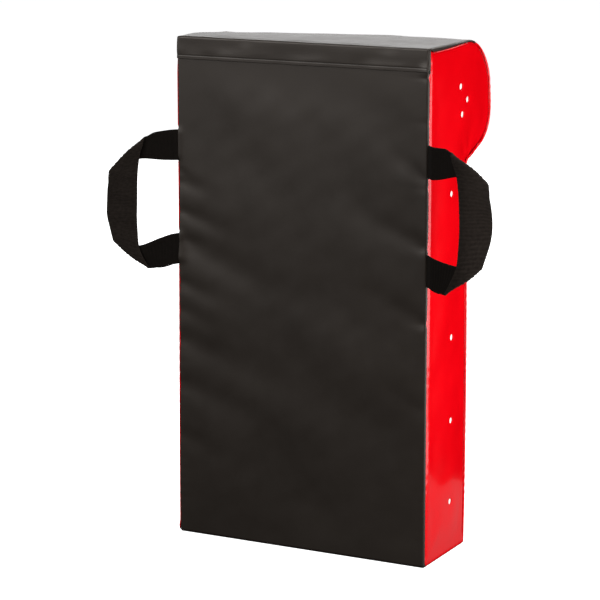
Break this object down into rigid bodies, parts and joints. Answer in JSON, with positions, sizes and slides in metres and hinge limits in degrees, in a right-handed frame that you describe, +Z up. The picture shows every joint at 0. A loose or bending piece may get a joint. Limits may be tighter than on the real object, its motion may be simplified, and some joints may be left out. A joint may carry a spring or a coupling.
{
  "type": "strike pad",
  "caption": "Tall foam strike pad with a head roll across the top of its face, a black leatherette back, red vinyl sides and a webbing handle on each rear edge.",
  "frame": {"origin": "middle of the slab's footprint on the floor, under the handles' side of the head roll", "axes": "+Z up the pad, +Y out of the strike face, -Y towards the holder, +X to the holder's right"},
  "size_m": [0.5194, 0.2298, 0.65],
  "materials": {
    "leatherette_black": "satin",
    "vinyl_red": "gloss",
    "webbing_black": "matte",
    "tape_black": "matte",
    "foam_white": "matte",
    "foam_dark": "matte"
  },
  "bodies": {
    "pad": {"foam_backboard": "foam_dark", "foam_core": "foam_white", "foam_strike_layer": "foam_white", "foam_head_roll": "foam_white", "back_panel": "leatherette_black", "front_panel": "vinyl_red", "top_panel": "leatherette_black", "bottom_panel": "leatherette_black", "side_panel_left": "vinyl_red", "side_panel_right": "vinyl_red", "loop_tape": "tape_black", "handle_tail_left_upper": "webbing_black", "handle_tail_left_lower": "webbing_black", "handle_tail_right_upper": "webbing_black", "handle_tail_right_lower": "webbing_black"},
    "flap": {"closure_flap": "leatherette_black", "hook_tape": "tape_black"},
    "left_handle": {"handle_left": "webbing_black"},
    "right_handle": {"handle_right": "webbing_black"}
  },
  "joints": [
    {"name": "flap_hinge", "type": "hinge", "parent": "pad", "child": "flap", "pos_m": [0, -0.064, 0.6503], "axis": [-1, 0, 0], "range_deg": [0, 170]},
    {"name": "left_handle_swing", "type": "hinge", "parent": "pad", "child": "left_handle", "pos_m": [-0.1765, -0.064, 0.446], "axis": [0, 0, -1], "range_deg": [-150, 106]},
    {"name": "right_handle_swing", "type": "hinge", "parent": "pad", "child": "right_handle", "pos_m": [0.1765, -0.064, 0.446], "axis": [0, 0, 1], "range_deg": [-150, 106]}
  ]
}
